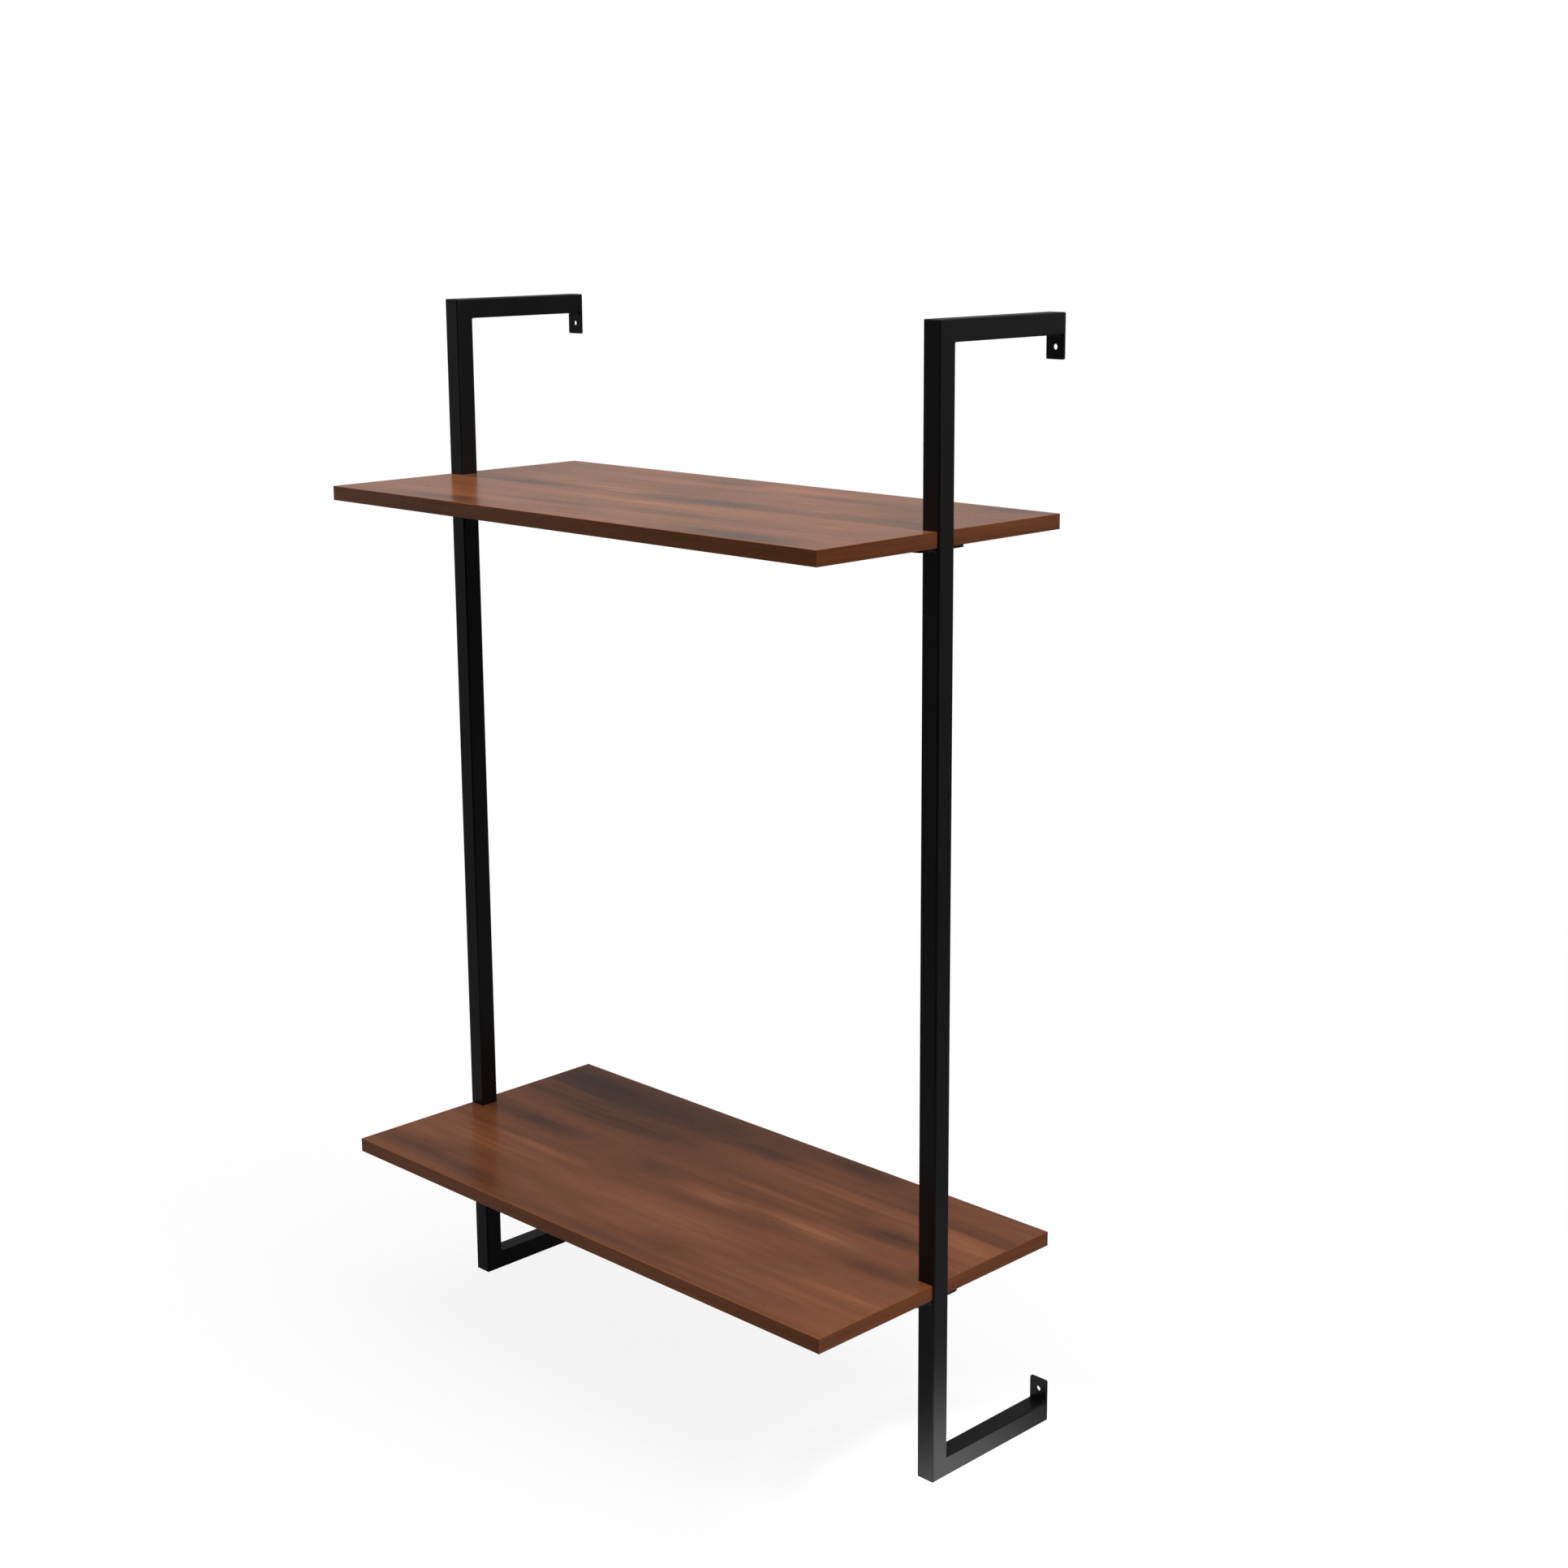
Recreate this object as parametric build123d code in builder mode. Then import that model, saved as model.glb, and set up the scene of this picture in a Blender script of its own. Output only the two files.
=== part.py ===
from build123d import *
import os

# Two-tier wall shelf. Two side frames of welded square steel tube stand off the wall. Each frame
# carries the ends of both shelf boards on small plates welded round its post.
#
# +X runs along the shelves to the right, +Y points at the wall, +Z is up. The origin is on the
# wall plane, midway between the side frames and at mid-height: the centre of the four wall holes.

# ---- driving dimensions, in millimetres ----

# Shelf boards
shelf_length = 850.0
shelf_depth = 400.0
board_thickness = 18.0
laminate_thickness = 0.8
edge_band_thickness = 1.0
edge_band_radius = 0.7
rear_edge_gap = 1.0  # from the wall to a shelf's rear edge
lower_shelf_height = 248.0  # from the foot of the frame to the top of the lower shelf
shelf_spacing = 875.0  # from the lower shelf's top to the upper shelf's top

# Side frames
frame_height = 1350.0
frame_depth = 212.5  # from the wall to the front of the post
tube_size = 25.0
tube_wall = 1.5
tube_corner_radius = 2.0  # outside
tube_inner_radius = 0.5
ground_corner_radius = 1.5  # where the welded mitre is ground smooth
post_proud = 2.5  # how far a post stands out past the shelf's end
notch_clearance = 0.3  # between the post and the board, on each face

# Wall tabs
tab_thickness = 3.0
tab_reach = 28.0  # how far a tab stands past its arm
wall_hole_diameter = 7.0
wall_hole_offset = 14.0  # from the arm's face to the hole's centre

# Shelf plates
plate_thickness = 3.0
plate_length = 76.0  # along the board's end
plate_reach = 32.0  # inboard of the post
plate_end_setback = 0.8  # from the shelf's end to the plate's edge
plate_corner_radius = 10.0

# Wood screws, driven up through the shelf plates
screw_diameter = 4.0
screw_grip = 9.0  # how deep a screw goes into the board
screw_point_length = 3.0
screw_head_diameter = 8.0
screw_head_height = 2.6
screw_rim_height = 0.8  # the straight edge of the head, next to the plate
screw_recess_width = 1.1
screw_recess_length = 4.4
screw_recess_depth = 1.4
screw_hole_clearance = 0.5  # round a screw's shank in the plate
screw_inset = 11.0  # from the plate's edges to a screw's centre
pilot_extra_depth = 0.6  # past the screw's point

# Weld beads
weld_leg = 3.0
weld_hollow = 0.4  # how far a bead's face dips below a straight one

# ---- places worked out from them ----

head_z = frame_height / 2
foot_z = -frame_height / 2
post_x = shelf_length / 2 + post_proud - tube_size / 2
post_front_y = -frame_depth
post_rear_y = post_front_y + tube_size
post_y = (post_front_y + post_rear_y) / 2
arm_end_y = -tab_thickness  # where an arm meets its wall tab

shelf_rear_y = -rear_edge_gap
shelf_front_y = shelf_rear_y - shelf_depth
shelf_y = (shelf_front_y + shelf_rear_y) / 2
core_length = shelf_length - 2 * edge_band_thickness
core_depth = shelf_depth - 2 * edge_band_thickness
core_thickness = board_thickness - 2 * laminate_thickness
notch_inner_x = post_x - tube_size / 2 - notch_clearance
notch_front_y = post_front_y - notch_clearance
notch_rear_y = post_rear_y + notch_clearance

plate_outer_x = shelf_length / 2 - plate_end_setback
plate_inner_x = post_x - tube_size / 2 - plate_reach
screw_x = plate_inner_x + screw_inset
screw_y_spacing = plate_length - 2 * screw_inset

SIDES = {"left": -1, "right": 1}
FRAME_ENDS = {"top": 1, "bottom": -1}
SHELF_TOPS = {
    "upper": foot_z + lower_shelf_height + shelf_spacing,
    "lower": foot_z + lower_shelf_height,
}

os.makedirs("parts", exist_ok=True)


def save(piece, name):
    """Labels a finished piece and writes it to its own file."""
    piece.label = name
    export_step(piece, f"parts/{name}.step")


# ---- side frames ----


def tube_section():
    """The hollow square section, centred on the sketch plane in use."""
    bore = tube_size - 2 * tube_wall
    RectangleRounded(tube_size, tube_size, tube_corner_radius)
    RectangleRounded(bore, bore, tube_inner_radius, mode=Mode.SUBTRACT)


def mitre_plane(side, end):
    """The 45 degree cut between post and arm. Its normal points to the arm's side."""
    return Plane(origin=(side * post_x, post_front_y, end * head_z), z_dir=(0, 1, end))


def corner_waste(side, end):
    """The sketch across the tube of what is ground off the frame's outer corner."""
    radius = ground_corner_radius
    with BuildSketch(Plane.YZ.offset(side * post_x)) as waste:
        with Locations((post_front_y + radius / 2, end * (head_z - radius / 2))):
            Rectangle(radius, radius)
        with Locations((post_front_y + radius, end * (head_z - radius))):
            Circle(radius, mode=Mode.SUBTRACT)
    return waste.sketch


def make_post(side):
    """The upright: the frame's full height, mitred at both ends."""
    with BuildPart() as post:
        with BuildSketch(Plane(origin=(side * post_x, post_y, foot_z))):
            tube_section()
        extrude(amount=frame_height)
        for end in FRAME_ENDS.values():
            split(bisect_by=mitre_plane(side, end), keep=Keep.BOTTOM)
            extrude(corner_waste(side, end), tube_size / 2, both=True, mode=Mode.SUBTRACT)
    return post.part


def make_arm(side, end):
    """A level tube from the post's mitre back to the wall tab."""
    arm_z = end * (head_z - tube_size / 2)
    with BuildPart() as arm:
        with BuildSketch(Plane(origin=(side * post_x, arm_end_y, arm_z), z_dir=(0, -1, 0))):
            tube_section()
        extrude(amount=frame_depth - tab_thickness)
        split(bisect_by=mitre_plane(side, end), keep=Keep.TOP)
        extrude(corner_waste(side, end), tube_size / 2, both=True, mode=Mode.SUBTRACT)
    return arm.part


def make_wall_tab(side, end):
    """The plate that closes an arm's end and stands past it with the wall hole."""
    height = tube_size + tab_reach
    with BuildPart() as tab:
        with BuildSketch(Plane.XZ):
            with Locations((side * post_x, end * (head_z - height / 2))):
                RectangleRounded(tube_size, height, tube_corner_radius)
            with Locations((side * post_x, end * (head_z - tube_size - wall_hole_offset))):
                Circle(wall_hole_diameter / 2, mode=Mode.SUBTRACT)
        extrude(amount=tab_thickness)
    return tab.part


def make_shelf_plate(side, shelf_top):
    """The plate under a board's end, cut out round three faces of the post."""
    centre_x = (plate_inner_x + plate_outer_x) / 2
    underside = shelf_top - board_thickness - plate_thickness
    with BuildPart() as plate:
        with BuildSketch(Plane.XY.offset(underside)):
            with Locations((side * centre_x, post_y)):
                RectangleRounded(plate_outer_x - plate_inner_x, plate_length, plate_corner_radius)
            with Locations((side * post_x, post_y)):
                Rectangle(tube_size, tube_size, mode=Mode.SUBTRACT)
            with Locations((side * screw_x, post_y)):
                with GridLocations(0, screw_y_spacing, 1, 2):
                    Circle(screw_diameter / 2 + screw_hole_clearance, mode=Mode.SUBTRACT)
        extrude(amount=plate_thickness)
    return plate.part


def weld_section(seam, along, down):
    """A fillet bead's section at the seam point, with a leg along each of two directions."""
    across = Vector(along).cross(Vector(down))
    middle = weld_leg / 2 - weld_hollow / 2**0.5
    with BuildSketch(Plane(origin=seam, x_dir=along, z_dir=across)) as section:
        with BuildLine():
            Line((0, 0), (weld_leg, 0))
            ThreePointArc((weld_leg, 0), (middle, middle), (0, weld_leg))
            Line((0, weld_leg), (0, 0))
        make_face()
    return section.sketch


def make_weld_beads(side):
    """All of one frame's beads: four in its inner corners, three round each shelf plate."""
    flat_half = tube_size / 2 - tube_corner_radius
    over_plate_half = plate_outer_x - post_x
    down = (0, 0, -1)
    with BuildPart() as beads:
        for end in FRAME_ENDS.values():
            face_z = end * (head_z - tube_size)
            inward = (0, 0, -end)
            post_seam = weld_section((side * post_x, post_rear_y, face_z), (0, 1, 0), inward)
            tab_seam = weld_section((side * post_x, arm_end_y, face_z), (0, -1, 0), inward)
            extrude(post_seam, flat_half, both=True)
            extrude(tab_seam, flat_half, both=True)
        for shelf_top in SHELF_TOPS.values():
            plate_z = shelf_top - board_thickness - plate_thickness
            inner_x = side * (post_x - tube_size / 2)
            front_seam = weld_section((side * post_x, post_front_y, plate_z), (0, -1, 0), down)
            rear_seam = weld_section((side * post_x, post_rear_y, plate_z), (0, 1, 0), down)
            inner_seam = weld_section((inner_x, post_y, plate_z), (-side, 0, 0), down)
            extrude(front_seam, over_plate_half, both=True)
            extrude(rear_seam, over_plate_half, both=True)
            extrude(inner_seam, flat_half, both=True)
    return beads.part


def make_plate_screws(side, shelf_top):
    """The two pan-head wood screws of one shelf plate, heads down."""
    board_underside = shelf_top - board_thickness
    seat = board_underside - plate_thickness
    head_bottom = seat - screw_head_height
    tip = board_underside + screw_grip
    shank_radius = screw_diameter / 2
    head_radius = screw_head_diameter / 2
    with BuildPart() as screws:
        for row in (-1, 1):
            place = (side * screw_x, post_y + row * screw_y_spacing / 2, 0)
            with BuildSketch(Plane(origin=place, x_dir=(1, 0, 0), z_dir=(0, -1, 0))):
                with BuildLine():
                    Polyline(
                        (head_radius, seat - screw_rim_height),
                        (head_radius, seat),
                        (shank_radius, seat),
                        (shank_radius, tip - screw_point_length),
                        (0, tip),
                        (0, head_bottom),
                    )
                    TangentArc(
                        (0, head_bottom),
                        (head_radius, seat - screw_rim_height),
                        tangent=(1, 0),
                    )
                make_face()
            revolve(axis=Axis(place, (0, 0, 1)))
        with BuildSketch(Plane.XY.offset(head_bottom)):
            with Locations((side * screw_x, post_y)):
                with GridLocations(0, screw_y_spacing, 1, 2):
                    Rectangle(screw_recess_length, screw_recess_width)
                    Rectangle(screw_recess_width, screw_recess_length)
        extrude(amount=screw_recess_depth, mode=Mode.SUBTRACT)
    return screws.part


# ---- shelf boards ----


def board_plan():
    """The board inside its edge bands, with the open notches for the posts."""
    notch_depth = shelf_length / 2 - notch_inner_x
    with Locations((0, shelf_y)):
        Rectangle(core_length, core_depth)
    for side in SIDES.values():
        with Locations((side * (notch_inner_x + notch_depth / 2), post_y)):
            Rectangle(notch_depth, notch_rear_y - notch_front_y, mode=Mode.SUBTRACT)


def screw_circles(mode):
    """Where the eight screws of both ends enter a board."""
    for side in SIDES.values():
        with Locations((side * screw_x, post_y)):
            with GridLocations(0, screw_y_spacing, 1, 2):
                Circle(screw_diameter / 2, mode=mode)


def make_core(shelf_top):
    """The chipboard, with a pilot hole for each screw."""
    underside = shelf_top - board_thickness + laminate_thickness
    pilot_depth = screw_grip - laminate_thickness + pilot_extra_depth
    with BuildPart() as core:
        with BuildSketch(Plane.XY.offset(underside)):
            board_plan()
        extrude(amount=core_thickness)
        with BuildSketch(Plane.XY.offset(underside)):
            screw_circles(Mode.ADD)
        extrude(amount=pilot_depth, mode=Mode.SUBTRACT)
    return core.part


def make_top_laminate(shelf_top):
    """The printed sheet on a board's top."""
    with BuildPart() as laminate:
        with BuildSketch(Plane.XY.offset(shelf_top - laminate_thickness)):
            board_plan()
        extrude(amount=laminate_thickness)
    return laminate.part


def make_bottom_laminate(shelf_top):
    """The sheet under a board, which the screws pass through."""
    with BuildPart() as laminate:
        with BuildSketch(Plane.XY.offset(shelf_top - board_thickness)):
            board_plan()
            screw_circles(Mode.SUBTRACT)
        extrude(amount=laminate_thickness)
    return laminate.part


def make_long_band(shelf_top, outward):
    """A band along the whole front or rear edge. outward is -1 at the front, 1 at the rear."""
    centre_y = shelf_y + outward * (shelf_depth - edge_band_thickness) / 2
    with BuildPart() as band:
        with BuildSketch(Plane.XY.offset(shelf_top - board_thickness)):
            with Locations((0, centre_y)):
                Rectangle(shelf_length, edge_band_thickness)
        extrude(amount=board_thickness)
        outer_face = band.faces().sort_by(Axis.Y)[0 if outward < 0 else -1]
        fillet(outer_face.edges(), radius=edge_band_radius)
    return band.part


def make_end_band(shelf_top, side, start_y, stop_y):
    """A band on a board's end, from the front or rear band to the notch."""
    centre_x = side * (shelf_length - edge_band_thickness) / 2
    with BuildPart() as band:
        with BuildSketch(Plane.XY.offset(shelf_top - board_thickness)):
            with Locations((centre_x, (start_y + stop_y) / 2)):
                Rectangle(edge_band_thickness, stop_y - start_y)
        extrude(amount=board_thickness)
        outer_face = band.faces().sort_by(Axis.X)[0 if side < 0 else -1]
        fillet(outer_face.edges().filter_by(Axis.Y), radius=edge_band_radius)
    return band.part


# ---- every piece, to its own file ----

for side_name, side in SIDES.items():
    save(make_post(side), f"{side_name}_post")
    save(make_weld_beads(side), f"{side_name}_weld_beads")
    for end_name, end in FRAME_ENDS.items():
        save(make_arm(side, end), f"{side_name}_{end_name}_arm")
        save(make_wall_tab(side, end), f"{side_name}_{end_name}_wall_tab")
    for shelf_name, shelf_top in SHELF_TOPS.items():
        save(make_shelf_plate(side, shelf_top), f"{side_name}_{shelf_name}_shelf_plate")
        save(make_plate_screws(side, shelf_top), f"{side_name}_{shelf_name}_plate_screws")

for shelf_name, shelf_top in SHELF_TOPS.items():
    board = f"{shelf_name}_shelf"
    front_stop_y = shelf_front_y + edge_band_thickness
    rear_stop_y = shelf_rear_y - edge_band_thickness
    save(make_core(shelf_top), f"{board}_core")
    save(make_top_laminate(shelf_top), f"{board}_top_laminate")
    save(make_bottom_laminate(shelf_top), f"{board}_bottom_laminate")
    save(make_long_band(shelf_top, -1), f"{board}_front_edge_band")
    save(make_long_band(shelf_top, 1), f"{board}_rear_edge_band")
    for side_name, side in SIDES.items():
        front_band = make_end_band(shelf_top, side, front_stop_y, notch_front_y)
        rear_band = make_end_band(shelf_top, side, notch_rear_y, rear_stop_y)
        save(front_band, f"{board}_{side_name}_front_end_band")
        save(rear_band, f"{board}_{side_name}_rear_end_band")
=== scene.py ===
import math
import random

import bpy
from mathutils import Matrix, Vector


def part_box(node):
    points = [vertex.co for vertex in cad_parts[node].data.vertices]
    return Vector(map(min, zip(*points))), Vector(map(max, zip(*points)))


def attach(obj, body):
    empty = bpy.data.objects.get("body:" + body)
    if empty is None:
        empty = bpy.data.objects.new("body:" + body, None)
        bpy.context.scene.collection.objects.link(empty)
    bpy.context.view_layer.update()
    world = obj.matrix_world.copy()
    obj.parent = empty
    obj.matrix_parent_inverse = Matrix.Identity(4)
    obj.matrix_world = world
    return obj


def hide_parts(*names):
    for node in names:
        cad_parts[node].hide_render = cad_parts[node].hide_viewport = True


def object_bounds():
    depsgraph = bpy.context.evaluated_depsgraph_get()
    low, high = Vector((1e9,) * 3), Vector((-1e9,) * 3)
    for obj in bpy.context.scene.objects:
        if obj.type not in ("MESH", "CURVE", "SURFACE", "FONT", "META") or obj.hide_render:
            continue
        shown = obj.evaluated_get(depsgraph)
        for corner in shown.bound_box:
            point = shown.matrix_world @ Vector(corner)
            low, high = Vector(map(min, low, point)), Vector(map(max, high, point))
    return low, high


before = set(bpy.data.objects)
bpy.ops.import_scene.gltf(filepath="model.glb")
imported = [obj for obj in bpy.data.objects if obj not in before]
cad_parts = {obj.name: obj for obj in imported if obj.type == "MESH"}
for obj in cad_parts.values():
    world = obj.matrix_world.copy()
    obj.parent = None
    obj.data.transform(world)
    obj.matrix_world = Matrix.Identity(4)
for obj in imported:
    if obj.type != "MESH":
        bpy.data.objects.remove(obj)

# Two-tier wall shelf: two black steel side frames, each a tall post with an arm to the wall at
# both ends, carry two walnut-faced boards. +X runs along the boards, +Y points at the wall.

cad_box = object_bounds()

SIDES = ("left", "right")
SHELVES = ("upper", "lower")
SHELF_FRONT = -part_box("lower_shelf_front_edge_band")[0].y  # how far the boards stand out
TUBE_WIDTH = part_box("left_post")[1].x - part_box("left_post")[0].x
MM = 0.001
WHITE = (1, 1, 1)


# ---- laying out a finish ----

FACE_MATCH = 0.985  # how well the rounded and the flat normal agree where a face begins
EDGE_MATCH = 0.80  # and where it is all edge


class Layout:
    """A node tree being laid out. Every call adds one node and gives its result."""

    def __init__(self, tree):
        self.tree = tree

    def put(self, socket, value):
        """Feeds a socket from another node, or sets its own value."""
        if isinstance(value, bpy.types.NodeSocket):
            self.tree.links.new(value, socket)
        elif socket.type == "RGBA" and len(value) == 3:
            socket.default_value = (*value, 1)
        else:
            socket.default_value = value

    def add(self, kind, inputs, result=0, **settings):
        node = self.tree.nodes.new(kind)
        for name, value in settings.items():
            setattr(node, name, value)
        for name, value in inputs.items():
            self.put(node.inputs[name], value)
        return None if result is None else node.outputs[result]

    def math(self, operation, first, second):
        return self.add("ShaderNodeMath", {0: first, 1: second}, operation=operation)

    def weighted(self, base, *parts):
        """The base plus each value times its weight."""
        for value, weight in parts:
            base = self.math("ADD", base, self.math("MULTIPLY", value, weight))
        return base

    def point(self):
        """Where a point of the piece is, in metres."""
        return self.add("ShaderNodeTexCoord", {}, "Object")

    def split(self, vector):
        node = self.tree.nodes.new("ShaderNodeSeparateXYZ")
        self.put(node.inputs[0], vector)
        return node.outputs[0], node.outputs[1], node.outputs[2]

    def join(self, x, y, z):
        return self.add("ShaderNodeCombineXYZ", {0: x, 1: y, 2: z})

    def scaled(self, vector, scale, shift=(0, 0, 0)):
        inputs = {"Vector": vector, "Scale": scale, "Location": shift}
        return self.add("ShaderNodeMapping", inputs)

    def noise(self, vector, scale=1.0, detail=2.0, roughness=0.5, distortion=0.0):
        inputs = {
            "Vector": vector, "Scale": scale, "Detail": detail,
            "Roughness": roughness, "Distortion": distortion,
        }
        return self.add("ShaderNodeTexNoise", inputs)

    def ramp(self, factor, stops, interpolation="LINEAR"):
        """Colours or greys by place on a scale from 0 to 1."""
        node = self.tree.nodes.new("ShaderNodeValToRGB")
        node.color_ramp.interpolation = interpolation
        elements = node.color_ramp.elements
        while len(elements) < len(stops):
            elements.new(0.5)
        for element, (place, value) in zip(elements, stops):
            element.position = place
            element.color = (*value, 1) if isinstance(value, tuple) else (value, value, value, 1)
        self.put(node.inputs[0], factor)
        return node.outputs[0]

    def between(self, value, low, high, to_low=0.0, to_high=1.0):
        """Eases a value from low to high into another range."""
        inputs = {"Value": value, 1: low, 2: high, 3: to_low, 4: to_high}
        return self.add("ShaderNodeMapRange", inputs, interpolation_type="SMOOTHSTEP")

    def mix(self, factor, first, second):
        inputs = {0: factor, 6: first, 7: second}
        return self.add("ShaderNodeMix", inputs, 2, data_type="RGBA", clamp_factor=True)

    def distance(self, x, y, middle_x, middle_y):
        """How far a point is from a middle, seen from above."""
        off_x = self.math("SUBTRACT", x, middle_x)
        off_y = self.math("SUBTRACT", y, middle_y)
        away = self.join(off_x, off_y, 0.0)
        return self.add("ShaderNodeVectorMath", {0: away}, "Value", operation="LENGTH")

    def edges(self, radius):
        """1 along sharp edges and 0 on flat faces, over about the radius."""
        rounded = self.add("ShaderNodeBevel", {"Radius": radius}, samples=4)
        flat = self.add("ShaderNodeNewGeometry", {}, "Normal")
        inputs = {0: rounded, 1: flat}
        match = self.add("ShaderNodeVectorMath", inputs, "Value", operation="DOT_PRODUCT")
        return self.between(match, FACE_MATCH, EDGE_MATCH)

    def relief(self, height, strength, depth):
        """A bump whose full height stands for the depth, in metres."""
        inputs = {"Height": height, "Strength": strength, "Distance": depth}
        return self.add("ShaderNodeBump", inputs)


class Finish(Layout):
    """A procedural material being laid out round its one shader."""

    def __init__(self, name):
        self.material = bpy.data.materials.new(name)
        self.material.use_nodes = True
        super().__init__(self.material.node_tree)
        self.shader = self.tree.nodes["Principled BSDF"]


# ---- walnut ----

# Walnut tones from the darkest heart to the palest streak, as linear colours. The printed
# sheets are a little greyer than the edge strips.
SHEET_TONES = (
    (0.00, (0.052, 0.0185, 0.0100)),
    (0.25, (0.104, 0.0350, 0.0155)),
    (0.50, (0.218, 0.0710, 0.0270)),
    (0.72, (0.310, 0.1030, 0.0400)),
    (1.00, (0.420, 0.1620, 0.0720)),
)
BAND_TONES = (
    (0.00, (0.042, 0.0115, 0.0040)),
    (0.25, (0.100, 0.0260, 0.0055)),
    (0.50, (0.205, 0.0540, 0.0085)),
    (0.72, (0.290, 0.0800, 0.0140)),
    (1.00, (0.400, 0.1350, 0.0400)),
)

PORE_COLOUR = (0.030, 0.011, 0.007)
PORE_SHADE = 0.45
PORE_DEPTH = 0.15 * MM

# The clear skin over the print, as roughness and shine: satin on what is seen, matt underneath.
SATIN_SKIN = (0.20, 0.5)
MATT_SKIN = (0.48, 0.22)

# Repeats per metre of each layer of the figure: along the grain, across it and into the board.
CLOUD_REPEATS = (3.2, 16, 5)
LINE_REPEATS = (4.5, 105, 9)
GRAIN_REPEATS = (22, 640, 60)
PORE_REPEATS = (75, 2300, 300)
FLECK_REPEATS = (70, 330, 90)
WAVER_REPEATS = (2.4, 6, 4)
PORE_RANGE = (0.60, 0.74)  # between these the pores' noise turns from plain wood to a pore
FLECK_RANGE = (0.67, 0.80)

# How much the clouds, the growth lines and the fine grain each move the tone.
SHEET_WEIGHTS = (0.55, 0.36, 0.16)
BAND_WEIGHTS = (0.55, 0.50, 0.22)

STAVE_ALONG = 5.3  # metres along the log that a stave number of 1 moves the figure
STAVE_INTO = 2.9  # and metres into it
WAVER = 0.022  # how far staves and lines wander across a board, in metres
MARK_WAVER = 1.6  # how many times as far the marks wander
STAVE_BLEND = 0.012  # half the share of the depth over which two staves' tones meet
LINE_RANGE = (0.32, 0.68)  # where most growth lines lie
STREAK_RANGE = (0.62, 1.28)  # a mark's strength on those lines, so that it looks streaky
MARK_PEAK = 1.1  # a little past the mark's middle, which keeps it from looking level
LONG_BAND_TONES = {"upper": 0.51, "lower": 0.73}
END_BAND_TONE = 0.54
BAND_EDGE = 1.2 * MM  # how far the painted highlight reaches from a strip's sharp edges
# how much paler the painted highlight makes the tone
BAND_EDGE_HIGHLIGHT = 0.30

# How a sheet is made up of printed staves, from the rear edge to the front one: where each one
# starts as a share of the depth, a number that moves its figure to another part of the log,
# and its tone.
LOWER_STAVES = ((0.0, 0.12, 0.44), (0.195, 0.73, 0.56), (0.417, 0.36, 0.54),
                (0.617, 0.91, 0.58), (0.868, 0.55, 0.50))
UPPER_STAVES = ((0.0, 0.33, 0.54), (0.22, 0.81, 0.50), (0.44, 0.17, 0.42),
                (0.54, 0.62, 0.55), (0.78, 0.46, 0.52))
UNDER_STAVES = ((0.0, 0.27, 0.50), (0.18, 0.69, 0.45), (0.40, 0.05, 0.55),
                (0.63, 0.88, 0.47), (0.84, 0.41, 0.53))

# Soft marks in a sheet, most in its figure and, on the lower top, some of painted shade: x, y,
# half length, half width in metres, and how much lighter or, below zero, how much darker.
# The first two, broad and dark over the rear left of the lower top, are painted shade, streaked
# along the growth lines.
LOWER_MARKS_AND_SHADE = (
    (-0.34, -0.040, 0.48, 0.090, -0.42), (-0.26, -0.122, 0.46, 0.060, -0.38),
    (-0.286, -0.190, 0.190, 0.034, -0.36), (0.130, -0.020, 0.120, 0.026, -0.22),
    (0.010, -0.060, 0.080, 0.018, -0.20), (0.312, -0.143, 0.130, 0.032, -0.34),
    (0.350, -0.230, 0.110, 0.026, -0.34), (-0.075, -0.200, 0.085, 0.040, -0.18),
    (-0.340, -0.364, 0.160, 0.034, -0.24), (0.115, -0.345, 0.075, 0.030, -0.17),
    (0.030, -0.377, 0.190, 0.016, -0.14), (-0.225, -0.257, 0.170, 0.013, 0.30),
    (0.160, -0.090, 0.260, 0.022, 0.18), (0.385, -0.105, 0.090, 0.040, 0.20),
    (0.110, -0.148, 0.130, 0.014, 0.16), (0.360, -0.302, 0.130, 0.010, 0.18),
    (0.210, -0.198, 0.130, 0.026, 0.44), (-0.225, -0.375, 0.090, 0.026, -0.16),
    (0.100, -0.285, 0.230, 0.030, 0.18), (0.060, -0.205, 0.110, 0.028, 0.40),
    (-0.300, -0.290, 0.180, 0.024, 0.22),
)
UPPER_MARKS = (
    (-0.270, -0.195, 0.130, 0.030, -0.27), (0.050, -0.198, 0.190, 0.034, -0.27),
    (-0.060, -0.050, 0.090, 0.034, -0.22), (0.165, -0.075, 0.130, 0.022, -0.20),
    (0.270, -0.110, 0.100, 0.070, -0.18), (0.110, -0.295, 0.220, 0.026, -0.22),
    (-0.090, -0.315, 0.130, 0.020, -0.24), (-0.130, -0.172, 0.150, 0.014, 0.24),
    (-0.050, -0.250, 0.300, 0.022, 0.16), (0.060, -0.045, 0.120, 0.024, 0.16),
    (0.285, -0.378, 0.180, 0.040, -0.38), (0.370, -0.025, 0.120, 0.040, -0.34),
    (-0.250, -0.374, 0.120, 0.028, -0.24), (0.335, -0.165, 0.075, 0.045, -0.28),
    (-0.105, -0.188, 0.055, 0.008, 0.32), (0.150, -0.135, 0.040, 0.010, 0.28),
    (0.213, -0.178, 0.030, 0.007, 0.28), (0.315, -0.268, 0.036, 0.007, 0.30),
)
UNDER_MARKS = (
    (0.220, -0.070, 0.260, 0.036, -0.28), (-0.200, -0.240, 0.200, 0.030, -0.26),
    (0.060, -0.330, 0.180, 0.026, -0.24), (-0.300, -0.090, 0.160, 0.020, 0.22),
    (0.180, -0.200, 0.220, 0.016, 0.20),
)


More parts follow.
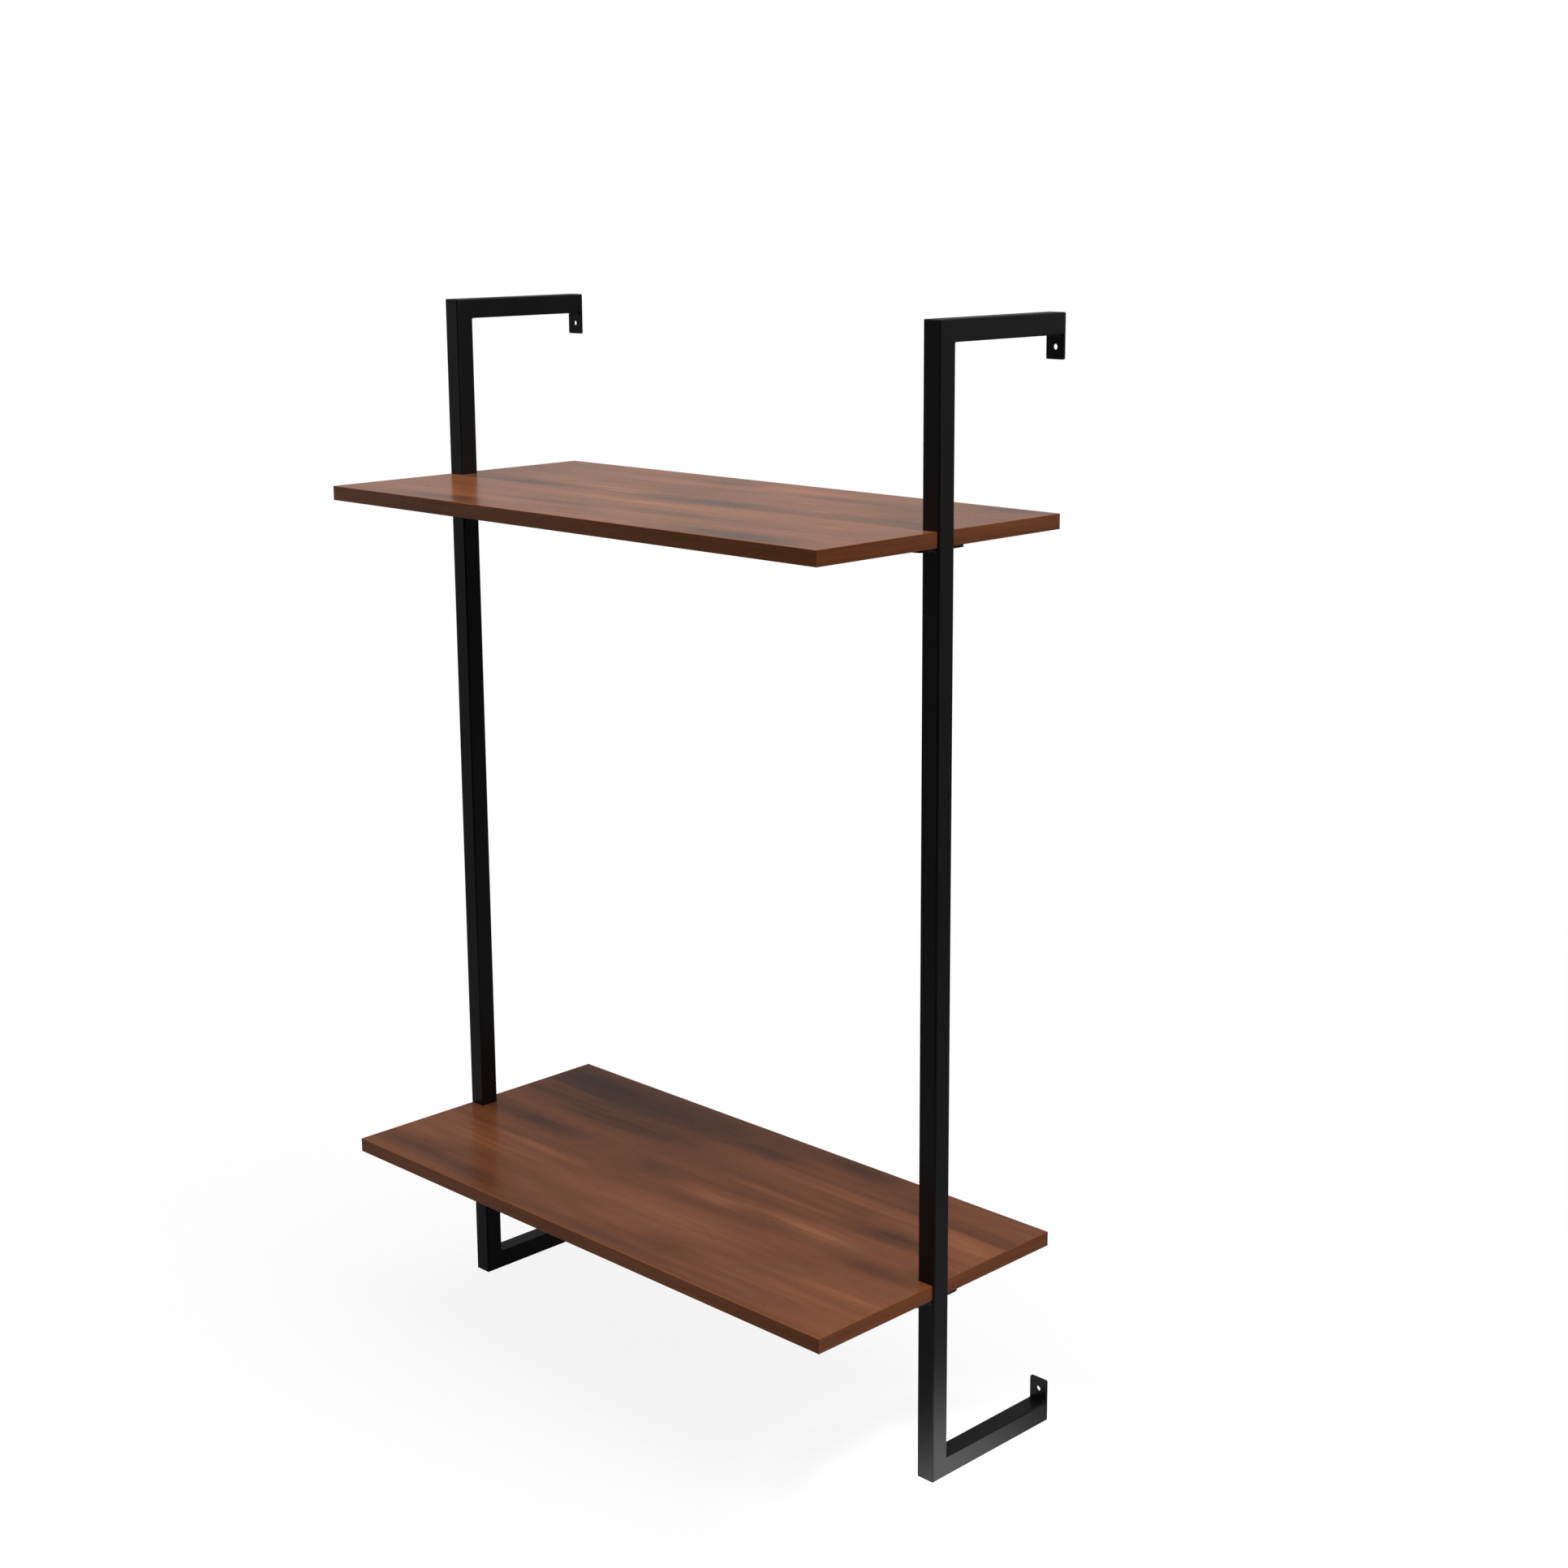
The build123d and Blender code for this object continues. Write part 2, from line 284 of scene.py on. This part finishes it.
def wood_figure(finish, along, across, depth, stave=0.0):
    """The figure's three layers, which are clouds, waving growth lines and fine grain, and its
    pores and small dark flecks. All of them run along the first direction."""
    along = finish.weighted(along, (stave, STAVE_ALONG))
    depth = finish.weighted(depth, (stave, STAVE_INTO))
    place = finish.join(along, across, depth)
    clouds = finish.noise(finish.scaled(place, CLOUD_REPEATS), 1, 3, 0.55, 0.4)
    lines = finish.noise(finish.scaled(place, LINE_REPEATS), 1, 3, 0.6, 0.55)
    grain = finish.noise(finish.scaled(place, GRAIN_REPEATS), 1, 2, 0.55)
    pores = finish.noise(finish.scaled(place, PORE_REPEATS), 1, 1, 0.5)
    flecks = finish.noise(finish.scaled(place, FLECK_REPEATS), 1, 2, 0.6, 0.8)
    pores = finish.between(pores, *PORE_RANGE)
    flecks = finish.between(flecks, *FLECK_RANGE)
    dark = finish.math("MINIMUM", finish.math("ADD", pores, flecks), 1.0)
    return (clouds, lines, grain), dark


def figure_tone(finish, tone, layers, weights):
    """A tone made darker or paler by how far each layer is from its own middle."""
    for layer, weight in zip(layers, weights):
        tone = finish.weighted(tone, (finish.math("SUBTRACT", layer, 0.5), weight))
    return tone


def walnut_surface(finish, tones, tone, grain, pores, skin):
    """Colour, sheen and relief of printed walnut under a clear skin."""
    roughness, shine = skin
    colour = finish.ramp(tone, tones)
    colour = finish.mix(finish.math("MULTIPLY", pores, PORE_SHADE), colour, PORE_COLOUR)
    finish.put(finish.shader.inputs["Base Color"], colour)
    sheen = finish.weighted(roughness, (grain, 0.07), (pores, 0.10))
    finish.put(finish.shader.inputs["Roughness"], sheen)
    height = finish.math("SUBTRACT", finish.math("MULTIPLY", grain, 0.35), pores)
    finish.put(finish.shader.inputs["Normal"], finish.relief(height, 0.07, PORE_DEPTH))
    finish.shader.inputs["Specular IOR Level"].default_value = shine
    return finish.material


def stave_tones(staves):
    """The staves' tones by place, each one level until it meets the next."""
    stops = []
    for index, (place, _, tone) in enumerate(staves):
        if index:
            stops.append((place - STAVE_BLEND, staves[index - 1][2]))
        stops.append((place + STAVE_BLEND, tone))
    return stops


def walnut_sheet(name, staves, marks_and_shade, skin=SATIN_SKIN):
    """The laminate of one face of a board, with its staves and its marks, which on the lower top
    include painted shade.
    """
    finish = Finish(name)
    x, y, z = finish.split(finish.point())
    waver = finish.noise(finish.scaled(finish.point(), WAVER_REPEATS), 1, 2)
    swing = finish.math("MULTIPLY", finish.math("SUBTRACT", waver, 0.5), WAVER)
    across = finish.math("ADD", y, swing)
    share = finish.math("DIVIDE", finish.math("MULTIPLY", across, -1), SHELF_FRONT)
    number = finish.ramp(share, [(place, number) for place, number, _ in staves], "CONSTANT")
    layers, pores = wood_figure(finish, x, across, z, number)
    _, lines, grain = layers
    tone = finish.ramp(share, stave_tones(staves))
    tone = figure_tone(finish, tone, layers, SHEET_WEIGHTS)
    streaks = finish.between(lines, *LINE_RANGE, *STREAK_RANGE)
    place = finish.join(x, finish.weighted(y, (swing, MARK_WAVER)), 0.0)
    # Each mark makes the tone lighter or darker along the growth lines; some on the lower top
    # are painted shade.
    for mark_x, mark_y, half_length, half_width, amount in marks_and_shade:
        scale = (1 / half_length, 1 / half_width, 1)
        shift = (-mark_x / half_length, -mark_y / half_width, 0)
        near = finish.add(
            "ShaderNodeTexGradient", {0: finish.scaled(place, scale, shift)}, 1,
            gradient_type="SPHERICAL",
        )
        soft = finish.between(near, 0.0, MARK_PEAK)
        tone = finish.weighted(tone, (finish.math("MULTIPLY", soft, streaks), amount))
    return walnut_surface(finish, SHEET_TONES, tone, grain, pores, skin)


def walnut_band(name, runs_along_x, middle_tone):
    """The strip glued round a board's edge, with its grain along the edge and a painted
    highlight along its sharp edges.
    """
    finish = Finish(name)
    x, y, z = finish.split(finish.point())
    along, depth = (x, y) if runs_along_x else (y, x)
    layers, pores = wood_figure(finish, along, z, depth)
    tone = figure_tone(finish, middle_tone, layers, BAND_WEIGHTS)
    # Painted highlight: the strip's tone is paler along its sharp edges.
    tone = finish.weighted(tone, (finish.edges(BAND_EDGE), BAND_EDGE_HIGHLIGHT))
    return walnut_surface(finish, BAND_TONES, tone, layers[2], pores, SATIN_SKIN)


# ---- steel and chipboard ----

COAT_DARK = (0.0022, 0.0024, 0.0033)
COAT_PALE = (0.0045, 0.0048, 0.0062)
COAT_WORN = (0.026, 0.027, 0.030)
COAT_EDGE = 0.8 * MM  # how far the thin coat reaches from a tube's sharp edges
COAT_SHINE = 0.36
PEEL_REPEATS = 620  # the peel, the grit and the handling marks, all per metre
GRIT_REPEATS = 2600
HANDLED_REPEATS = (14, 14, 5)
PEEL_DEPTH = 0.25 * MM

ZINC_YELLOW = (0.50, 0.48, 0.42)
ZINC_BLUE = (0.62, 0.63, 0.64)
BLOOM_REPEATS = 260
SCUFF_REPEATS = (900, 4200, 900)
SCUFF_DEPTH = 0.05 * MM

CHIP_DARK = (0.16, 0.095, 0.050)
CHIP_MIDDLE = (0.34, 0.23, 0.135)
CHIP_PALE = (0.52, 0.39, 0.25)
CHIP_REPEATS = (260, 260, 900)  # flat chips, lying level in the board
CHIP_DEPTH = 0.4 * MM


def black_powder_coat():
    """Satin black stoved powder: a fine orange-peel skin, thinner and brighter on the edges."""
    finish = Finish("satin_black_powder_coat")
    place = finish.point()
    peel = finish.noise(place, PEEL_REPEATS, 2, 0.5)
    grit = finish.noise(place, GRIT_REPEATS, 1, 0.5)
    handled = finish.noise(finish.scaled(place, HANDLED_REPEATS), 1, 4, 0.6)
    colour = finish.ramp(handled, [(0.25, COAT_DARK), (0.75, COAT_PALE)])
    thin = finish.between(handled, 0.35, 0.7, 0.25, 0.8)
    worn = finish.math("MULTIPLY", finish.edges(COAT_EDGE), thin)
    finish.put(finish.shader.inputs["Base Color"], finish.mix(worn, colour, COAT_WORN))
    sheen = finish.weighted(0.26, (handled, 0.12), (grit, 0.06))
    finish.put(finish.shader.inputs["Roughness"], sheen)
    height = finish.weighted(peel, (grit, 0.35))
    finish.put(finish.shader.inputs["Normal"], finish.relief(height, 0.16, PEEL_DEPTH))
    finish.shader.inputs["Specular IOR Level"].default_value = COAT_SHINE
    return finish.material


def zinc_plate():
    """Bright zinc on the screws, with a faint yellow bloom and scuffs."""
    finish = Finish("zinc_plated_screw")
    place = finish.point()
    bloom = finish.noise(place, BLOOM_REPEATS, 3, 0.6)
    scuffs = finish.noise(finish.scaled(place, SCUFF_REPEATS), 1, 2, 0.6)
    colour = finish.ramp(bloom, [(0.3, ZINC_YELLOW), (0.7, ZINC_BLUE)])
    finish.put(finish.shader.inputs["Base Color"], colour)
    finish.put(finish.shader.inputs["Roughness"], finish.weighted(0.24, (bloom, 0.22)))
    finish.put(finish.shader.inputs["Normal"], finish.relief(scuffs, 0.15, SCUFF_DEPTH))
    finish.shader.inputs["Metallic"].default_value = 1.0
    return finish.material


def chipboard():
    """Pressed wood chips, seen where the boards are cut out round the posts."""
    finish = Finish("pressed_chipboard")
    place = finish.scaled(finish.point(), CHIP_REPEATS)
    chips = finish.tree.nodes.new("ShaderNodeTexVoronoi")
    finish.put(chips.inputs["Vector"], place)
    finish.put(chips.inputs["Scale"], 1.0)
    finish.put(chips.inputs["Randomness"], 1.0)
    shade, _, _ = finish.split(chips.outputs["Color"])
    colour = finish.ramp(shade, [(0.0, CHIP_DARK), (0.45, CHIP_MIDDLE), (1.0, CHIP_PALE)])
    finish.put(finish.shader.inputs["Base Color"], colour)
    fuzz = finish.noise(place, 3, 3, 0.6)
    finish.put(finish.shader.inputs["Roughness"], finish.between(fuzz, 0.2, 0.8, 0.72, 0.92))
    height = finish.weighted(chips.outputs["Distance"], (fuzz, 0.6))
    finish.put(finish.shader.inputs["Normal"], finish.relief(height, 0.5, CHIP_DEPTH))
    return finish.material


# ---- giving every part its finish ----

coat = black_powder_coat()
zinc = zinc_plate()
core = chipboard()
finishes = {
    "upper_shelf_top_laminate": walnut_sheet("walnut_upper_top", UPPER_STAVES, UPPER_MARKS),
    "lower_shelf_top_laminate": walnut_sheet("walnut_lower_top", LOWER_STAVES, LOWER_MARKS_AND_SHADE),
}
under = walnut_sheet("walnut_undersides", UNDER_STAVES, UNDER_MARKS, MATT_SKIN)
end_band = walnut_band("walnut_end_band", False, END_BAND_TONE)
for shelf in SHELVES:
    long_band = walnut_band(f"walnut_{shelf}_long_band", True, LONG_BAND_TONES[shelf])
    finishes[f"{shelf}_shelf_bottom_laminate"] = under
    finishes[f"{shelf}_shelf_core"] = core
    finishes[f"{shelf}_shelf_front_edge_band"] = long_band
    finishes[f"{shelf}_shelf_rear_edge_band"] = long_band
    for side in SIDES:
        finishes[f"{shelf}_shelf_{side}_front_end_band"] = end_band
        finishes[f"{shelf}_shelf_{side}_rear_end_band"] = end_band
        finishes[f"{side}_{shelf}_plate_screws"] = zinc
for name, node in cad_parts.items():
    for material_slot in node.material_slots:
        material_slot.material = finishes.get(name, coat)


# ---- weld beads ----

BEAD_LEG = 3.0 * MM
BEAD_RIPPLE = 0.85 * MM  # from a ripple's crest to the hollow after it
BEAD_LEAD = 0.45 * MM  # how far the middle of a ripple runs ahead of its ends
CREST_SWELL = 1.06
HOLLOW_SHRINK = 0.95
UNEVENNESS = 0.02  # how much one ripple's size strays from the next
END_SHRINK = 0.72  # what the pour tapers to at both ends of a bead
FACE_OFF_LEGS = 0.9 * MM  # a point further than this from both legs is on the bead's face
FACE_CUTS = (22.5, 45, 67.5)  # degrees round the seam of the rays that divide that face
SMOOTH_ANGLE = 50
POUR_SEED = 5
NEAR = 0.01 * MM
CORNER_BEAD_LENGTH = TUBE_WIDTH - 4.0 * MM  # the beads stop short of the tube's rounded edges
PLATE_BEAD_LENGTH = TUBE_WIDTH - 6.6 * MM


def points_where(mesh_object, chosen):
    """Leaves just the chosen points of the mesh in edit mode selected."""
    bpy.ops.mesh.select_all(action="DESELECT")
    bpy.ops.object.mode_set(mode="OBJECT")
    for vertex in mesh_object.data.vertices:
        vertex.select = chosen(vertex.co)
    bpy.ops.object.mode_set(mode="EDIT")


def make_bead(name, length):
    """One rippled fillet bead along X, its seam on the origin and its legs up Y and Z."""
    bpy.ops.object.select_all(action="DESELECT")
    middle = (0, BEAD_LEG / 2, BEAD_LEG / 2)
    bpy.ops.mesh.primitive_cube_add(size=1, location=middle, scale=(length, BEAD_LEG, BEAD_LEG))
    bead = bpy.context.object
    bead.name = name
    bpy.ops.object.transform_apply(location=True, rotation=True, scale=True)
    bpy.ops.object.mode_set(mode="EDIT")
    bpy.ops.mesh.select_mode(type="VERT")
    bpy.ops.mesh.select_all(action="SELECT")
    bpy.ops.mesh.bisect(
        plane_co=(0, BEAD_LEG, 0), plane_no=(0, 1, 1), use_fill=True, clear_outer=True
    )
    for degrees in FACE_CUTS:
        lean = math.radians(degrees)
        bpy.ops.mesh.select_all(action="SELECT")
        bpy.ops.mesh.bisect(plane_co=(0, 0, 0), plane_no=(0, math.sin(lean), -math.cos(lean)))
    count = round(length / BEAD_RIPPLE)
    places = [length * (step / count - 0.5) for step in range(1, count)]
    for place in places:
        bpy.ops.mesh.select_all(action="SELECT")
        bpy.ops.mesh.bisect(plane_co=(place, 0, 0), plane_no=(1, 0, 0))
    pour = random.Random(POUR_SEED)
    for step, place in enumerate(places):
        swell = CREST_SWELL if step % 2 else HOLLOW_SHRINK
        swell += pour.uniform(-UNEVENNESS, UNEVENNESS)
        points_where(bead, lambda co: abs(co.x - place) < NEAR)
        bpy.ops.transform.resize(value=(1, swell, swell), center_override=(place, 0, 0))
    half = length / 2 - NEAR
    points_where(bead, lambda co: abs(co.x) < half and min(co.y, co.z) > FACE_OFF_LEGS)
    bpy.ops.transform.translate(value=(BEAD_LEAD, 0, 0))
    points_where(bead, lambda co: abs(co.x) > half)
    bpy.ops.transform.resize(value=(1, END_SHRINK, END_SHRINK), center_override=(0, 0, 0))
    bpy.ops.mesh.select_all(action="SELECT")
    bpy.ops.mesh.normals_make_consistent(inside=False)
    bpy.ops.object.mode_set(mode="OBJECT")
    bpy.ops.object.shade_smooth_by_angle(angle=math.radians(SMOOTH_ANGLE))
    return bead


def lay_bead(pattern, seam, first_leg, second_leg):
    """A copy of a bead with its seam at a point and its legs along two directions."""
    bead = pattern.copy()
    bead.data = pattern.data.copy()
    bpy.context.scene.collection.objects.link(bead)
    first, second = Vector(first_leg), Vector(second_leg)
    turn = Matrix((first.cross(second), first, second)).transposed().to_4x4()
    bead.data.transform(Matrix.Translation(seam) @ turn)
    return bead


def weld_frame(side, corner_bead, plate_bead):
    """All of one side frame's beads: in its four inner corners and round both shelf plates."""
    post_low, post_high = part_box(f"{side}_post")
    middle_x = (post_low.x + post_high.x) / 2
    middle_y = (post_low.y + post_high.y) / 2
    beads = []
    for end, up in (("top", -1), ("bottom", 1)):
        arm_low, arm_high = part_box(f"{side}_{end}_arm")
        face_z = arm_low.z if end == "top" else arm_high.z
        at_post, at_tab = (middle_x, post_high.y, face_z), (middle_x, arm_high.y, face_z)
        beads.append(lay_bead(corner_bead, at_post, (0, 1, 0), (0, 0, up)))
        beads.append(lay_bead(corner_bead, at_tab, (0, -1, 0), (0, 0, up)))
    inward = 1 if side == "left" else -1
    inner_x = post_high.x if side == "left" else post_low.x
    for shelf in SHELVES:
        under_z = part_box(f"{side}_{shelf}_shelf_plate")[0].z
        at_front, at_rear = (middle_x, post_low.y, under_z), (middle_x, post_high.y, under_z)
        at_inside = (inner_x, middle_y, under_z)
        beads.append(lay_bead(plate_bead, at_front, (0, -1, 0), (0, 0, -1)))
        beads.append(lay_bead(plate_bead, at_rear, (0, 1, 0), (0, 0, -1)))
        beads.append(lay_bead(corner_bead, at_inside, (inward, 0, 0), (0, 0, -1)))
    bpy.ops.object.select_all(action="DESELECT")
    for bead in beads:
        bead.select_set(True)
    bpy.context.view_layer.objects.active = beads[0]
    bpy.ops.object.join()
    welds = bpy.context.object
    welds.name = f"{side}_rippled_welds"
    welds.data.name = welds.name
    welds.data.materials.clear()
    welds.data.materials.append(coat)
    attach(welds, "root")
    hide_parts(f"{side}_weld_beads")


corner_bead = make_bead("corner_bead", CORNER_BEAD_LENGTH)
plate_bead = make_bead("plate_bead", PLATE_BEAD_LENGTH)
for side in SIDES:
    weld_frame(side, corner_bead, plate_bead)
for pattern in (corner_bead, plate_bead):
    bpy.data.objects.remove(pattern)


# ---- stage, light and camera ----

FLOOR_RADIUS = 2.4
FLOOR_SIDES = 96
FLOOR_SOLID_RADIUS = 0.9  # past this the floor fades out towards its rim
FLOOR_MIDDLE_Y = -0.2
FLOOR_GAP = 0.2 * MM
FLOOR_BODY = 0.14  # how solid the floor is, so that it mirrors little light back up
FLOOR_GLOW = 0.15
POOL_MIDDLE = (0.48, -0.20)  # a pool of brighter light on the floor beside the right foot
POOL_REACH = 0.34
POOL_GLOW = 1.3

# The studio's light by direction, each one a part of a unit step: towards the backdrop, which
# is behind the shelf's left end, or up. A pair is where a light begins and where it is whole.
ROOM_LIGHT = 0.030
BACKDROP_LIGHT = 0.38
BACKDROP_EDGE = (-0.15, 0.25)
BACKDROP_TOP = (0.14, 0.34)  # between these heights the backdrop dims
BACKDROP_ABOVE = 0.38  # to this share
UNDERFOOT = (-0.45, -0.05)  # between these heights the light comes up to strength
UNDERFOOT_SHARE = 0.35  # from this share
CEILING = (0.40, 0.90)
CEILING_LIGHT = 0.60
DIAGONAL = math.sqrt(0.5)

# Each softbox: where it is, what it is aimed at, its width and height, and its watts.
SOFTBOXES = {
    "overhead_softbox": ((0.3, -0.4, 3.2), (0, -0.2, 0), (3.0, 2.4), 105),
    "right_softbox": ((3.2, 0.2, 1.9), (0, -0.2, -0.1), (1.8, 1.8), 34),
}

LENS = 56.638
SENSOR_WIDTH = 36
CAMERA_SHIFT = -0.0497  # as a share of the frame
CAMERA_REACH = 60
CAMERA_PLACE = (2.1726, -2.2074, 0.8087)
CAMERA_ROUND = 44.831  # degrees round from facing the wall
CAMERA_DOWN = 11.775  # degrees below level
CAMERA_TILT = -0.350  # degrees about its own line of sight


def make_floor():
    """A plain pale floor under the side frames' feet, fading out into the studio's white."""
    bpy.ops.object.select_all(action="DESELECT")
    foot = cad_box[0].z - FLOOR_GAP
    bpy.ops.mesh.primitive_circle_add(
        vertices=FLOOR_SIDES, radius=FLOOR_RADIUS, fill_type="NGON",
        location=(0, FLOOR_MIDDLE_Y, foot),
    )
    floor = bpy.context.object
    floor.name = "studio_floor"
    bpy.ops.object.transform_apply(location=True, rotation=True, scale=True)
    finish = Finish("pale_studio_floor")
    shader = finish.shader
    x, y, _ = finish.split(finish.point())
    reach = finish.distance(x, y, 0.0, FLOOR_MIDDLE_Y)
    body = finish.between(reach, FLOOR_RADIUS, FLOOR_SOLID_RADIUS, 0.0, FLOOR_BODY)
    pool = finish.between(finish.distance(x, y, *POOL_MIDDLE), POOL_REACH, 0.0)
    above = finish.math("SUBTRACT", 1.0, finish.add("ShaderNodeNewGeometry", {}, "Backfacing"))
    body = finish.math("MULTIPLY", finish.math("MAXIMUM", body, pool), above)
    finish.put(shader.inputs["Alpha"], body)
    glow = finish.weighted(FLOOR_GLOW, (pool, POOL_GLOW))
    finish.put(shader.inputs["Emission Strength"], glow)
    mottle = finish.noise(finish.point(), 30, 3, 0.6)
    finish.put(shader.inputs["Base Color"], finish.ramp(mottle, [(0.0, 0.87), (1.0, 0.91)]))
    shader.inputs["Roughness"].default_value = 0.9
    shader.inputs["Specular IOR Level"].default_value = 0.1
    shader.inputs["Emission Color"].default_value = (*WHITE, 1)
    floor.data.materials.append(finish.material)


def make_surroundings():
    """White all round to the eye. As light, a lit backdrop behind the shelf, a pale ceiling and
    an unlit room in front of it."""
    world = bpy.data.worlds.new("white_studio")
    bpy.context.scene.world = world
    world.use_nodes = True
    world.node_tree.nodes.clear()
    studio = Layout(world.node_tree)
    direction = studio.add("ShaderNodeTexCoord", {}, "Generated")
    x, y, z = studio.split(direction)
    towards = studio.math("MULTIPLY", studio.math("SUBTRACT", y, x), DIAGONAL)
    backdrop = studio.between(towards, *BACKDROP_EDGE, ROOM_LIGHT, BACKDROP_LIGHT)
    dimmed = studio.between(z, *BACKDROP_TOP, 1.0, BACKDROP_ABOVE)
    underfoot = studio.between(z, *UNDERFOOT, UNDERFOOT_SHARE, 1.0)
    around = studio.math("MULTIPLY", studio.math("MULTIPLY", backdrop, dimmed), underfoot)
    ceiling = studio.math("MULTIPLY", studio.between(z, *CEILING), CEILING_LIGHT)
    level = studio.math("MAXIMUM", around, ceiling)
    as_light = studio.add("ShaderNodeBackground", {0: studio.join(level, level, level)})
    as_seen = studio.add("ShaderNodeBackground", {0: WHITE})
    seen = studio.add("ShaderNodeLightPath", {}, "Is Camera Ray")
    choice = studio.add("ShaderNodeMixShader", {0: seen, 1: as_light, 2: as_seen})
    studio.add("ShaderNodeOutputWorld", {0: choice}, None)


def make_softbox(name, place, aim, size, watts):
    """A large soft area light aimed at a point."""
    light = bpy.data.lights.new(name, "AREA")
    light.shape = "RECTANGLE"
    light.size, light.size_y = size
    light.energy = watts
    box = bpy.data.objects.new(name, light)
    bpy.context.scene.collection.objects.link(box)
    box.location = place
    box.rotation_euler = (Vector(aim) - Vector(place)).to_track_quat("-Z", "Y").to_euler()


def make_camera():
    """In front of the right end and above the frames' tops, looking down at 12 degrees."""
    data = bpy.data.cameras.new("studio_camera")
    data.lens = LENS
    data.sensor_width = SENSOR_WIDTH
    data.shift_y = CAMERA_SHIFT
    data.clip_end = CAMERA_REACH
    camera = bpy.data.objects.new("studio_camera", data)
    bpy.context.scene.collection.objects.link(camera)
    turn = (
        Matrix.Rotation(math.radians(CAMERA_ROUND), 4, "Z")
        @ Matrix.Rotation(math.radians(90 - CAMERA_DOWN), 4, "X")
        @ Matrix.Rotation(math.radians(CAMERA_TILT), 4, "Z")
    )
    camera.matrix_world = Matrix.Translation(CAMERA_PLACE) @ turn
    bpy.context.scene.camera = camera


make_floor()
make_surroundings()
for name, setting in SOFTBOXES.items():
    make_softbox(name, *setting)
make_camera()
bpy.context.scene.view_settings.view_transform = "Standard"
